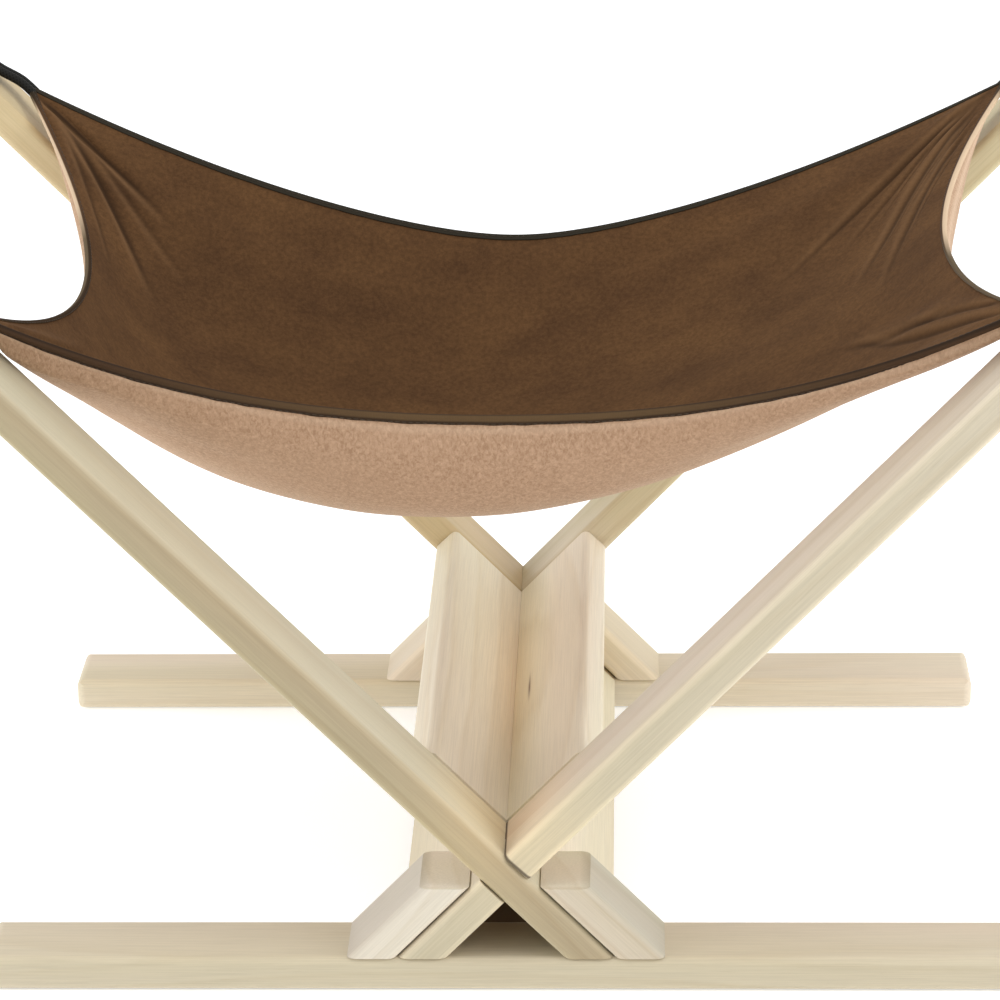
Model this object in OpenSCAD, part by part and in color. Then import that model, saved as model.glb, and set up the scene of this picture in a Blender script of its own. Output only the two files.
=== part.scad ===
// Hammock bed on a free-standing wooden frame, millimetres.
// X runs left to right, Y front to rear, Z up; the origin is on the floor under the middle.
// Two crossed pairs of arms stand on two base boards and a crossed spine ties them together.
// The soft bed hangs from the four arms by elastic loops.

/* [Frame] */
// Length of each base board, left to right
base_length = 530; // [420:5:640]
// Depth over both base boards, front to rear
frame_depth = 408; // [340:2:500]
// Thickness of the planed board stock
stock_thick = 18; // [15:0.5:22]
// Width of the planed board stock
stock_wide = 45; // [40:1:56]
// Slope of the arms above the floor, degrees
arm_lean = 46; // [43:0.5:49]
// Height of the crossing above the base boards
cross_rise = 43.5; // [38:0.5:56]
// Reach of an arm from the crossing to its tip
arm_reach = 475; // [465:1:560]
// Height of the blocks that trap the legs
block_high = 39; // [34:0.5:48]
// Reach of the upper spine boards from the crossing
spine_reach = 64; // [56:1:90]
// Rounding of the long board edges
edge_round = 4; // [2:0.5:5]
// Rounding of the sawn board ends
end_round = 5; // [2:0.5:7]

/* [Fits] */
// Slip gap between a leg and its block
slip_gap = 0.8; // [0.3:0.1:1]
// Gap round the half-lapped crossing
lap_gap = 0.2; // [0.1:0.05:0.5]
// Gap where spine boards meet an arm or each other
butt_gap = 0.2; // [0.1:0.05:0.5]
// Clearance round dowels and screws in their holes
hole_gap = 0.15; // [0.1:0.05:0.3]

/* [Fasteners] */
// Diameter of the beech dowels
dowel_wide = 8; // [6:0.5:9]
// Length of the beech dowels
dowel_long = 30; // [20:1:34]
// Place of the upper dowels along the arm from the crossing
dowel_up = 38; // [30:1:46]
// Place of the lower dowels along the leg from the crossing
dowel_down = 34; // [28:1:38]
// Spare depth at the end of a dowel or screw hole
hole_spare = 1; // [0.5:0.1:2]
// Shank diameter of the countersunk screws
screw_wide = 4; // [3:0.5:4.5]
// Length of the countersunk screws
screw_long = 30; // [26:0.5:31]
// Head diameter of the countersunk screws
head_wide = 8; // [7:0.5:9]
// Depth of a screw head below the underside of its board
head_sink = 0.6; // [0.3:0.1:1.2]
// Length of a screw point
point_long = 4; // [3:0.5:6]
// Width of one slot of the cross recess
recess_wide = 1.2; // [0.8:0.1:1.6]
// Length of one slot of the cross recess
recess_long = 4.4; // [3.6:0.2:5]
// Depth of the cross recess
recess_deep = 1.6; // [1:0.1:2]
// Spread of the two screws in one block, front to rear
screw_spread = 22; // [16:1:26]
// Inset of a screw from the outer edge of a sawn foot
screw_inset = 17; // [15:0.5:19]

/* [Bed] */
// Place of the rear bed corners along the arms
corner_rear = 418; // [395:1:422]
// Place of the front bed corners along the arms
corner_front = 389; // [380:1:420]
// Height of the rear bed corners above the arms
rear_lift = 9.2; // [8.5:0.1:14]
// Height of the front bed corners above the arms
front_lift = 9.8; // [9.4:0.1:14]
// Depth of the bowl below the mean corner height
bowl_deep = 143; // [115:1:170]
// Mean rise of the side edges above the bowl
side_rise = 106; // [90:1:116]
// How far the right side edge stands above that mean and the left below it
side_skew = 12.4; // [0:0.2:16]
// Mean rise of the front and rear rims above the bowl
rim_rise = 70; // [55:1:90]
// How far the front rim stands above that mean and the rear below it
rim_skew = 8; // [0:0.5:12]
// Mean depth of the curve cut into the side edges
side_cut = 41; // [30:1:50]
// How much deeper the left cut is than that mean
cut_skew = 2.4; // [0:0.2:5]
// Depth of the curve cut into the front and rear rims
rim_cut = 31.5; // [24:0.5:45]
// Drop of the left half of the bowl as it lies settled
settle_tilt = 17.3; // [0:0.1:20]
// Height of the main folds that run in from the corners
fold_high = 3; // [0:0.2:4]
// Thickness of the plush outer shell
shell_thick = 4; // [2.5:0.1:5]
// Thickness of the suede lining
lining_thick = 2; // [1.2:0.1:3]
// Gap between the bed layers
layer_gap = 0.4; // [0.3:0.05:0.8]
// Thickness of the edge binding
binding_thick = 0.8; // [0.6:0.1:1.2]
// Gap between the binding and the cloth
binding_gap = 0.65; // [0.6:0.05:0.95]

/* [Loops] */
// Diameter of the elastic cord
cord_wide = 5; // [4:0.5:6]
// Distance of the loop from the arm tip
loop_inset = 23; // [20:1:30]
// Clearance between the cord and the arm
cord_gap = 0.5; // [0.4:0.1:1]
// Gap between the bed corner and the cord ends
cord_start = 4.2; // [4.2:0.1:9]
// Run over which the cord leaves the arm
cord_lead = 16; // [12:1:18]

/* [Hidden] */
$fn = 48;

// Levels and planes of the frame
base_top = stock_thick;
cross_z = base_top + cross_rise;
arm_y = (frame_depth - stock_wide) / 2;
inner_y = frame_depth / 2 - stock_wide;
spine_long = 2 * (inner_y - butt_gap);
leg_long = cross_rise / sin(arm_lean);
overrun = stock_wide;
lap_long = 2 * stock_wide;
loop_reach = arm_reach - loop_inset;

// Sawn foot on the base, level width and offsets from the middle
foot_wide = stock_thick / sin(arm_lean);
foot_mid = cross_rise / tan(arm_lean);
block_mid = foot_mid + foot_wide + slip_gap / sin(arm_lean);

// Shape numbers of the cord and the screws, without length
notch_ease_share = 1.6;
lead_near_share = 0.4;
lead_turn_share = 0.12;
lead_side_share = 0.25;
lead_far_share = 0.55;
under_share = 0.4;
point_share = 0.25;

// Arm-frame heights of the bed corners and the cord
arm_top = stock_thick / 2;
rear_p = arm_top + rear_lift;
front_p = arm_top + front_lift;
cord_r = cord_wide / 2;
cord_top = arm_top + cord_r + cord_gap;
cord_side = stock_wide / 2 + cord_r + cord_gap;
cord_pair = cord_r + cord_gap;
notch_r = cord_r + notch_ease_share * cord_gap;
turn_r = edge_round + cord_r + cord_gap;
notch_turn_r = cord_side - stock_wide / 2 + 2 * cord_gap;

// Bed corner coordinates from the arm frame
rear_x = corner_rear * cos(arm_lean) - rear_p * sin(arm_lean);
rear_z = cross_z + corner_rear * sin(arm_lean) + rear_p * cos(arm_lean);
front_x = corner_front * cos(arm_lean) - front_p * sin(arm_lean);
front_z = cross_z + corner_front * sin(arm_lean) + front_p * cos(arm_lean);
corner_x = (rear_x + front_x) / 2;
corner_skew = (rear_x - front_x) / 2;
bed_lean = (rear_z - front_z) / 2;
bowl_z = (rear_z + front_z) / 2 - bowl_deep;

// Shape numbers of the settled bed, without length
side_power = 1.86;
power_slope = 0.39;
rim_power = 3.5;
edge_power = 2;
cut_power = 3;
settle_front_share = 0.13;
tilt_peak_share = 2.6;
fold_reach_share = 0.35;
fold_hem_share = 0.2;
step_share = 0.0005;
bed_cells = 24;
grid_power = 1.35;
first_cell_share = pow(2 / bed_cells, grid_power);
binding_share = 0.03;
binding_seat_share = 0.004;
binding_edge_share = 0.008;
cord_sides = 6;

// Heights of the bed layers along the surface normal
lining_low = layer_gap / 2;
lining_high = lining_low + lining_thick;
shell_high = -layer_gap / 2;
shell_low = shell_high - shell_thick;

// Rounded board section, exact arcs
module section(wide, high, round_r) {
    square([wide - 2 * round_r, high], center = true);
    square([wide, high - 2 * round_r], center = true);
    for (sx = [-1, 1])
        for (sy = [-1, 1])
            translate([sx * (wide / 2 - round_r), sy * (high / 2 - round_r)])
                circle(r = round_r);
}

// Board along X from start to end, rounded along its long edges and at both ends
module board(start, end) {
    long = end - start;
    translate([(start + end) / 2, 0, 0])
        intersection() {
            translate([-long / 2, 0, 0])
                rotate([90, 0, 90])
                    linear_extrude(long)
                        section(stock_wide, stock_thick, edge_round);
            translate([0, 0, -stock_thick / 2])
                linear_extrude(stock_thick)
                    section(long, stock_wide, end_round);
            translate([0, stock_wide / 2, 0])
                rotate([90, 0, 0])
                    linear_extrude(stock_wide)
                        section(long, stock_thick, end_round);
        }
}

// Turns the X axis into the rising line of an arm, side -1 rises to the left
module along_arm(side) {
    mirror([side < 0 ? 1 : 0, 0, 0])
        translate([0, 0, cross_z])
            rotate([0, -arm_lean, 0])
                children();
}

// Space above a level, as wide as the frame
module above(level) {
    translate([-base_length, -frame_depth, level])
        cube([2 * base_length, 2 * frame_depth, base_length + arm_reach]);
}

// Space between two levels
module between(low, high) {
    translate([-base_length, -frame_depth, low])
        cube([2 * base_length, 2 * frame_depth, high - low]);
}

// One screw standing up through a base from its underside
module screw() {
    cone = (head_wide - screw_wide) / 2;
    difference() {
        union() {
            cylinder(d1 = head_wide, d2 = screw_wide, h = cone);
            cylinder(d = screw_wide, h = screw_long - point_long);
            translate([0, 0, screw_long - point_long])
                cylinder(d1 = screw_wide, d2 = screw_wide * point_share, h = point_long);
        }
        for (turn = [0, 90])
            rotate([0, 0, turn])
                translate([-recess_long / 2, -recess_wide / 2, -recess_deep])
                    cube([recess_long, recess_wide, 2 * recess_deep]);
    }
}

// The hole that one screw needs, head seat included
module screw_hole() {
    wide = screw_wide + 2 * hole_gap;
    cone = (head_wide - screw_wide) / 2;
    cylinder(d1 = head_wide + 2 * hole_gap, d2 = wide, h = cone);
    cylinder(d = wide, h = screw_long + hole_spare);
    translate([0, 0, -2 * head_sink])
        cylinder(d = head_wide + 2 * hole_gap, h = 2 * head_sink);
}

// Screw places: blocks get two each, feet one each
module at_block_screws() {
    for (sy = [-1, 1])
        for (sx = [-1, 1])
            for (dy = [-1, 1])
                translate([sx * (block_mid + foot_wide / 2 - screw_inset),
                           sy * arm_y + dy * screw_spread / 2, head_sink])
                    children();
}

module at_leg_screws() {
    for (sy = [-1, 1])
        for (sx = [-1, 1])
            translate([sx * (foot_mid + foot_wide / 2 - screw_inset), sy * arm_y, head_sink])
                children();
}

// Dowel places along both diagonals, at both ends of the spine
module at_dowels() {
    for (sy = [-1, 1])
        for (side = [-1, 1])
            for (place = [dowel_up, -dowel_down])
                along_arm(side)
                    translate([place, sy * inner_y, 0])
                        rotate([90, 0, 0])
                            children();
}

module dowel_holes() {
    at_dowels()
        cylinder(d = dowel_wide + 2 * hole_gap, h = dowel_long + 2 * hole_spare, center = true);
}

// Base board with screw holes, sy -1 is the front one
module base(sy) {
    color([0.85, 0.79, 0.68])
        difference() {
            translate([0, sy * arm_y, stock_thick / 2])
                board(-base_length / 2, base_length / 2);
            at_block_screws()
                screw_hole();
            at_leg_screws()
                screw_hole();
        }
}

// Block cut level from the same stock, lying on the outer face of a leg
module block(sx, sy) {
    color([0.87, 0.81, 0.71])
        difference() {
            intersection() {
                along_arm(-sx)
                    translate([0, sy * arm_y, stock_thick + slip_gap])
                        board(-arm_reach, arm_reach);
                between(base_top, base_top + block_high);
            }
            at_block_screws()
                screw_hole();
        }
}

// Straight slab of the other arm over half the depth, for the half lap
module lap_slab(side, y_low, y_high) {
    along_arm(side)
        translate([-lap_long / 2, y_low, -stock_thick / 2 - lap_gap])
            cube([lap_long, y_high - y_low, stock_thick + 2 * lap_gap]);
}

// Arm of the front pair, side -1 rises to the left and keeps its front half at the lap
module front_arm(side) {
    mid = -arm_y;
    y_low = side < 0 ? mid - lap_gap / 2 : mid - stock_wide / 2 - overrun;
    y_high = side < 0 ? mid + stock_wide / 2 + overrun : mid + lap_gap / 2;
    difference() {
        intersection() {
            along_arm(side)
                translate([0, mid, 0])
                    board(-leg_long - overrun, arm_reach);
            above(base_top);
        }
        lap_slab(-side, y_low, y_high);
        dowel_holes();
        at_leg_screws()
            screw_hole();
        along_arm(side)
            translate([loop_reach, mid, -arm_top])
                rotate([90, 0, 0])
                    cylinder(r = notch_r, h = 2 * stock_wide, center = true);
    }
}

// Level section of one diagonal of the spine, sawn level at the base height
module diagonal(side, start, end) {
    mirror([side < 0 ? 1 : 0, 0])
        translate([0, cross_z])
            rotate(arm_lean) {
                translate([start, -stock_thick / 2])
                    square([end - edge_round - start, stock_thick]);
                translate([start, edge_round - stock_thick / 2])
                    square([end - start, stock_thick - 2 * edge_round]);
                for (sp = [-1, 1])
                    translate([end - edge_round, sp * (stock_thick / 2 - edge_round)])
                        circle(r = edge_round);
            }
}

// Strip that stands for the full board with its butt gap
module full_strip() {
    mirror([1, 0])
        translate([0, cross_z])
            rotate(arm_lean)
                translate([-arm_reach, -stock_thick / 2 - butt_gap])
                    square([2 * arm_reach, stock_thick + 2 * butt_gap]);
}

module sawn() {
    translate([-base_length, base_top])
        square([2 * base_length, arm_reach]);
}

module spine(long) {
    difference() {
        translate([0, long / 2, 0])
            rotate([90, 0, 0])
                linear_extrude(long)
                    children();
        dowel_holes();
    }
}

// One fold ridge and one valley run in from each corner and die out towards the hem
function fold(u, v) =
    let (du = max(0, 1 - abs(u)), dv = max(0, 1 - abs(v)))
    let (far = sqrt(du * du + dv * dv) / fold_reach_share)
    let (hem = min(1, min(du, dv) / fold_hem_share))
    fold_high * sin(4 * atan2(dv, du)) * far * exp(1 - far) * hem * hem;

// Point of the layer joint of the bed, u runs left to right and v front to rear, both -1 to 1
function bed_mid(u, v) =
    let (gu = pow(abs(u), side_power - power_slope * v))
    let (shift = settle_front_share * (1 - gu) * (1 - v * v))
    let (gv = pow(abs(v + shift), rim_power + (edge_power - rim_power) * gu))
    let (cut = (side_cut * u - cut_skew * abs(u)) * pow(abs(u), cut_power) * (1 - v * v))
    [u * (corner_x + corner_skew * v) - cut,
     v * (arm_y - rim_cut * (1 - u * u)),
     bowl_z + (side_rise + side_skew * u) * gu * (1 - gv)
     + (rim_rise - rim_skew * v) * gv * (1 - gu) + bowl_deep * gu * gv + bed_lean * v
     + settle_tilt * tilt_peak_share * u * (1 - u * u) * (1 - v * v) + fold(u, v)];

// Upward normal of that surface
function bed_normal(u, v) =
    let (uc = max(step_share - 1, min(1 - step_share, u)))
    let (vc = max(step_share - 1, min(1 - step_share, v)))
    let (across = bed_mid(uc + step_share, vc) - bed_mid(uc - step_share, vc))
    let (along = bed_mid(uc, vc + step_share) - bed_mid(uc, vc - step_share))
    let (n = cross(across, along))
    n / norm(n);

// Point of the bed at a height along the normal
function bed_point(u, v, high) = bed_mid(u, v) + high * bed_normal(u, v);

// Grid lines of the cloth, closer together towards the edges
function cell_share(i) =
    let (s = 2 * i / bed_cells - 1)
    sign(s) * (1 - pow(1 - abs(s), grid_power));

// Closed cloth between two heights over the whole bed
module cloth(low, high) {
    n = bed_cells;
    m = n + 1;
    top = [for (j = [0:n]) for (i = [0:n]) bed_point(cell_share(i), cell_share(j), high)];
    under = [for (j = [0:n]) for (i = [0:n]) bed_point(cell_share(i), cell_share(j), low)];
    upper = [for (j = [0:n - 1]) for (i = [0:n - 1]) for (half = [0, 1])
        let (a = j * m + i, to_corner = (2 * i < n) == (2 * j < n))
        to_corner
        ? (half == 0 ? [a, a + m, a + m + 1] : [a, a + m + 1, a + 1])
        : (half == 0 ? [a, a + m, a + 1] : [a + 1, a + m, a + m + 1])];
    lower = [for (f = upper) [f[2] + m * m, f[1] + m * m, f[0] + m * m]];
    ring = concat([for (i = [0:n - 1]) i], [for (j = [0:n - 1]) j * m + n],
        [for (i = [n:-1:1]) n * m + i], [for (j = [n:-1:1]) j * m]);
    count = len(ring);
    wall = [for (k = [0:count - 1]) for (half = [0, 1])
        let (a = ring[k], b = ring[(k + 1) % count])
        half == 0 ? [a, b, b + m * m] : [a, b + m * m, a + m * m]];
    polyhedron(concat(top, under), concat(upper, lower, wall), convexity = 6);
}

// Bed outline once round, four sides of bed_cells steps each
function outline_share(step) =
    let (side = floor(step / bed_cells), s = cell_share(step % bed_cells))
    side == 0 ? [s, -1]
    : side == 1 ? [1, s]
    : side == 2 ? [-s, 1]
    : [-1, -s];

// Point one cell in from the outline, square to the edge
function inner_share(uv) =
    let (keep = 1 - first_cell_share)
    [abs(uv[0]) == 1 ? uv[0] * keep : uv[0], abs(uv[1]) == 1 ? uv[1] * keep : uv[1]];

// Point over the outermost cells of the cloth, inset is a share of the half width
function edge_point(uv, inset, high) =
    let (outer = bed_point(uv[0], uv[1], high))
    let (inner = bed_point(inner_share(uv)[0], inner_share(uv)[1], high))
    outer + inset / first_cell_share * (inner - outer);

// Folded binding: a channel over both cloth edges
module binding() {
    high_in = lining_high + binding_gap;
    low_in = shell_low - binding_gap;
    profile = [
        [binding_share, high_in + binding_thick],
        [-binding_edge_share, high_in + binding_thick],
        [-binding_edge_share, low_in - binding_thick],
        [binding_share, low_in - binding_thick],
        [binding_share, low_in],
        [-binding_seat_share, low_in],
        [-binding_seat_share, high_in],
        [binding_share, high_in]
    ];
    count = 4 * bed_cells;
    k = len(profile);
    points = [for (s = [0:count - 1]) for (c = profile)
        edge_point(outline_share(s), c[0], c[1])];
    faces = [for (s = [0:count - 1]) for (i = [0:k - 1]) for (half = [0, 1])
        let (t = (s + 1) % count, j = (i + 1) % k)
        half == 0 ? [s * k + i, t * k + i, t * k + j] : [s * k + i, t * k + j, s * k + j]];
    polyhedron(points, faces, convexity = 6);
}

// Quarter turn of the cord in the plane across an arm, listed as [height, depth]
function turn(height, depth, r, start, step) =
    [for (k = [1:3]) [height + r * sin(start + k * step), depth - r * cos(start + k * step)]];

// Half of a loop in the arm frame: along, height, depth from the arm's middle
function half_loop(begin, begin_p) =
    let (edge = stock_wide / 2 - edge_round)
    let (flat = arm_top - edge_round)
    let (low_edge = cord_side - notch_turn_r)
    concat(
        [[begin, begin_p, -cord_pair],
         [loop_reach - cord_lead, cord_top, -cord_pair],
         [loop_reach - cord_lead * lead_near_share, cord_top, -cord_pair - cord_gap],
         [loop_reach - cord_lead * lead_turn_share, cord_top, -cord_pair - cord_lead * lead_side_share],
         [loop_reach, cord_top, -cord_pair - cord_lead * lead_far_share],
         [loop_reach, flat + turn_r, -edge]],
        [for (q = turn(flat, -edge, turn_r, 90, -30)) [loop_reach, q[0], q[1]]],
        [[loop_reach, notch_turn_r - arm_top, -cord_side]],
        [for (q = turn(notch_turn_r - arm_top, -low_edge, notch_turn_r, 0, -30))
            [loop_reach, q[0], q[1]]],
        [[loop_reach, -arm_top, -low_edge * under_share]]
    );

// Whole loop, front half then rear half
function loop_path(begin, begin_p) =
    let (half = half_loop(begin, begin_p))
    let (n = len(half))
    concat(half, [for (k = [n - 1:-1:0]) [half[k][0], half[k][1], -half[k][2]]]);

function unit(v) = v / norm(v);

// Cord swept along a path in the arm frame
module cord(path) {
    n = len(path);
    aim = [1, 1, 1];
    points = [for (k = [0:n - 1])
        let (before = path[max(0, k - 1)], after = path[min(n - 1, k + 1)])
        let (along = unit(after - before))
        let (left = unit(cross(aim, along)))
        let (up = cross(along, left))
        for (s = [0:cord_sides - 1])
            path[k] + cord_r * (cos(360 * s / cord_sides) * left + sin(360 * s / cord_sides) * up)];
    tube = [for (k = [0:n - 2]) for (s = [0:cord_sides - 1]) for (half = [0, 1])
        let (a = k * cord_sides + s, b = k * cord_sides + (s + 1) % cord_sides)
        half == 0 ? [a, b + cord_sides, b] : [a, a + cord_sides, b + cord_sides]];
    first = [for (s = [1:cord_sides - 2]) [0, s, s + 1]];
    last_at = (n - 1) * cord_sides;
    last = [for (s = [1:cord_sides - 2]) [last_at, last_at + s + 1, last_at + s]];
    polyhedron(points, concat(tube, first, last), convexity = 6);
}

// Elastic loop on one arm, sy -1 is a front arm
module loop(side, sy) {
    reach = sy < 0 ? corner_front : corner_rear;
    begin_p = sy < 0 ? front_p : rear_p;
    color([0.10, 0.10, 0.09])
        along_arm(side)
            translate([0, sy * arm_y, 0])
                cord([for (q = loop_path(reach + cord_start, begin_p)) [q[0], q[2], q[1]]]);
}

module base_front() {
    base(-1);
}

module base_rear() {
    base(1);
}

module block_front_left() {
    block(-1, -1);
}

module block_front_right() {
    block(1, -1);
}

module block_rear_left() {
    block(-1, 1);
}

module block_rear_right() {
    block(1, 1);
}

module arm_front_left() {
    color([0.84, 0.78, 0.66])
        front_arm(-1);
}

module arm_front_right() {
    color([0.83, 0.77, 0.65])
        front_arm(1);
}

// The rear pair is the front pair turned half round
module arm_rear_left() {
    color([0.83, 0.77, 0.65])
        rotate([0, 0, 180])
            front_arm(1);
}

module arm_rear_right() {
    color([0.84, 0.78, 0.66])
        rotate([0, 0, 180])
            front_arm(-1);
}

// Board that runs through the crossing from lower right to upper left
module spine_full_board() {
    color([0.82, 0.75, 0.63])
        spine(spine_long)
            intersection() {
                diagonal(-1, -leg_long - overrun, spine_reach);
                sawn();
            }
}

// Board from the crossing to the upper right
module spine_upper_board() {
    color([0.81, 0.74, 0.62])
        spine(spine_long)
            difference() {
                diagonal(1, 0, spine_reach);
                full_strip();
            }
}

// Board from the crossing to the lower left
module spine_lower_board() {
    color([0.81, 0.74, 0.62])
        spine(spine_long)
            difference() {
                intersection() {
                    diagonal(1, -leg_long - overrun, edge_round);
                    sawn();
                }
                full_strip();
                translate([0, cross_z])
                    square([base_length, arm_reach], center = false);
            }
}

module spine_dowels() {
    color([0.78, 0.66, 0.48])
        at_dowels()
            cylinder(d = dowel_wide, h = dowel_long, center = true);
}

module block_screws() {
    color([0.62, 0.62, 0.60])
        at_block_screws()
            screw();
}

module leg_screws() {
    color([0.62, 0.62, 0.60])
        at_leg_screws()
            screw();
}

module bed_shell() {
    color([0.71, 0.58, 0.46])
        cloth(shell_low, shell_high);
}

module bed_lining() {
    color([0.35, 0.26, 0.17])
        cloth(lining_low, lining_high);
}

module edge_binding() {
    color([0.24, 0.16, 0.10])
        binding();
}

module loop_front_left() {
    loop(-1, -1);
}

module loop_front_right() {
    loop(1, -1);
}

module loop_rear_left() {
    loop(-1, 1);
}

module loop_rear_right() {
    loop(1, 1);
}

base_front();
base_rear();
block_front_left();
block_front_right();
block_rear_left();
block_rear_right();
arm_front_left();
arm_front_right();
arm_rear_left();
arm_rear_right();
spine_full_board();
spine_upper_board();
spine_lower_board();
spine_dowels();
block_screws();
leg_screws();
bed_shell();
bed_lining();
edge_binding();
loop_front_left();
loop_front_right();
loop_rear_left();
loop_rear_right();
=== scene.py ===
import bmesh
import bpy
import math
import numpy as np
from mathutils import Euler, Matrix, Vector


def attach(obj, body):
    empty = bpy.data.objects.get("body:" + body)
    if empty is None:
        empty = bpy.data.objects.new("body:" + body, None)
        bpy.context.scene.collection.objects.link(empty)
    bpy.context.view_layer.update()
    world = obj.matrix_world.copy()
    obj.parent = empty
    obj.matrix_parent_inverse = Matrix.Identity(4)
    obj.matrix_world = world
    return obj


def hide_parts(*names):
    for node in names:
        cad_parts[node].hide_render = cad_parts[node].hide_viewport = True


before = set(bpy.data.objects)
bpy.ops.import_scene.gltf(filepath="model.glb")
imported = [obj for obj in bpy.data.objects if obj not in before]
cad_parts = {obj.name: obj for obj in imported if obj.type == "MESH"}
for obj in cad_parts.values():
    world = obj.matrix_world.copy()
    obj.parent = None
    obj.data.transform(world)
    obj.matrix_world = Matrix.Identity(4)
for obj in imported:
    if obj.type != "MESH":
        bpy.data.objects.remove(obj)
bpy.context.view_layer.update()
print("frame loaded, solids:", len(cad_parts))


def addObject(name, data):
    thing = bpy.data.objects.new(name, data)
    bpy.context.scene.collection.objects.link(thing)
    return thing


# camera, from the board edges in the photograph

cameraSet = dict(place=(0.06212, -2.01164, 0.9322), focal=3979.31, pitch=20.23, yaw=1.95, roll=-0.84,
                 pixels=1000, sensor=36.0, clip=(0.05, 60.0))


def makeCamera(c):
    pitch, yaw, roll = (math.radians(c[k]) for k in ("pitch", "yaw", "roll"))
    ahead = np.array((-math.sin(yaw) * math.cos(pitch), math.cos(yaw) * math.cos(pitch), -math.sin(pitch)))
    side = np.array((math.cos(yaw), math.sin(yaw), 0.0))
    top = np.cross(side, ahead)
    right = math.cos(roll) * side + math.sin(roll) * top
    up = math.cos(roll) * top - math.sin(roll) * side
    data = bpy.data.cameras.new("photoCamera")
    data.sensor_width = c["sensor"]
    data.lens = c["focal"] / c["pixels"] * c["sensor"]  # pixels of the photograph to mm on the sensor
    data.clip_start, data.clip_end = c["clip"]
    cam = addObject("photoCamera", data)
    turn = np.eye(4)
    turn[:3] = np.stack([right, up, -ahead, c["place"]], -1)
    cam.matrix_world = Matrix(turn.tolist())
    bpy.context.scene.camera = cam


makeCamera(cameraSet)
print("camera set")

# small tools for meshes


def gridQuads(rows, cols):  # quads of a rows x cols point grid
    r, c = np.arange(rows - 1)[:, None] * cols, np.arange(cols - 1)[None, :]
    return np.stack([r + c, r + c + 1, r + cols + c + 1, r + cols + c], -1).reshape(-1, 4)


def makePiece(name, mat, points, quads, uv=None, weld=False):
    mesh = bpy.data.meshes.new(name)
    mesh.from_pydata(np.asarray(points, float).reshape(-1, 3).tolist(), [], np.asarray(quads).tolist())
    if uv is not None:
        chart = mesh.uv_layers.new(name="along")
        pick = np.zeros(len(mesh.loops), np.int32)
        mesh.loops.foreach_get("vertex_index", pick)
        chart.data.foreach_set("uv", np.asarray(uv, np.float32).reshape(-1, 2)[pick].ravel())
    if weld:  # close the seam of the map and the ends that run to a point
        shape = bmesh.new()
        shape.from_mesh(mesh)
        bmesh.ops.remove_doubles(shape, verts=shape.verts, dist=1e-6)
        shape.to_mesh(mesh)
        shape.free()
    mesh.polygons.foreach_set("use_smooth", np.full(len(mesh.polygons), True))
    mesh.update()
    mesh.materials.append(mat)
    return addObject(name, mesh)


def runAlong(points):  # distance along a line at each of its points
    return np.r_[0, np.cumsum(np.linalg.norm(np.diff(points, axis=0), axis=1))]


def unit(ways):  # the same directions, of length 1
    return ways / np.linalg.norm(ways, axis=-1, keepdims=True)


# small tools for materials


def linear(r, g, b):  # screen colour 0..255 to linear light
    c = np.array((r, g, b), float) / 255
    c = np.where(c <= 0.04045, c / 12.92, ((c + 0.055) / 1.055) ** 2.4)
    return (*c.tolist(), 1.0)


def grey(v):
    return (v, v, v, 1.0)


def feed(tree, node, inputs):  # links each socket, sets each plain value
    for key, value in inputs.items():
        if isinstance(value, bpy.types.NodeSocket):
            tree.links.new(value, node.inputs[key])
        else:
            node.inputs[key].default_value = value


def addNode(tree, kind, inputs, **settings):
    node = tree.nodes.new(kind)
    for key, value in settings.items():
        setattr(node, key, value)
    feed(tree, node, inputs)
    return node


signs = {"*": "MULTIPLY", "*+": "MULTIPLY_ADD", "+": "ADD", "-": "SUBTRACT", "/": "DIVIDE"}


def calc(tree, what, a, b=0.0, c=0.0, clamp=False):
    node = addNode(tree, "ShaderNodeMath", {0: a, 1: b, 2: c}, operation=signs.get(what, what), use_clamp=clamp)
    return node.outputs[0]


def vec(tree, what, a, b=(0.0, 0.0, 0.0)):  # a length or a dot product comes back as one number
    node = addNode(tree, "ShaderNodeVectorMath", {0: a, 1: b}, operation=signs.get(what, what))
    return node.outputs[1 if what in ("LENGTH", "DOT_PRODUCT") else 0]


def stretch(tree, where, by):  # the same place with each axis scaled
    return vec(tree, "*", where, by)


def split(tree, where):  # the three numbers of a place
    return addNode(tree, "ShaderNodeSeparateXYZ", {0: where}).outputs


def bell(tree, square, steep=1.0):  # e to the power of minus the square
    return calc(tree, "EXPONENT", calc(tree, "*", square, -steep))


def swing(tree, turns):  # a sine from 0 to 1 and back in each turn
    return calc(tree, "*+", calc(tree, "SINE", calc(tree, "*", turns, 2 * math.pi)), 0.5, 0.5)


def blend(tree, share, first, second, how="MIX"):
    node = addNode(tree, "ShaderNodeMix", {0: share, 6: first, 7: second}, data_type="RGBA",
                   blend_type=signs.get(how, how))
    return node.outputs[2]


def ramp(tree, value, stops):  # stops of a place and a colour or a grey
    node = addNode(tree, "ShaderNodeValToRGB", {0: value})
    line = node.color_ramp
    while len(line.elements) < len(stops):
        line.elements.new(0.5)
    for element, (at, shade) in zip(line.elements, stops):
        element.position = at
        element.color = shade if isinstance(shade, tuple) else grey(shade)
    return node.outputs[0]


def noise(tree, where, often, detail=2.0, rough=0.5, bend=0.0, out=0):  # often: in a metre, or by axis
    if isinstance(often, tuple):
        where, often = stretch(tree, where, often), 1.0
    node = addNode(tree, "ShaderNodeTexNoise", {"Vector": where, "Scale": often, "Detail": detail,
                                                "Roughness": rough, "Distortion": bend})
    return node.outputs[out]


def bump(tree, high, strength, deep):
    return addNode(tree, "ShaderNodeBump", {"Height": high, "Strength": strength, "Distance": deep}).outputs[0]


def objectSpot(tree):
    return tree.nodes.new("ShaderNodeTexCoord").outputs["Object"]


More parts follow.
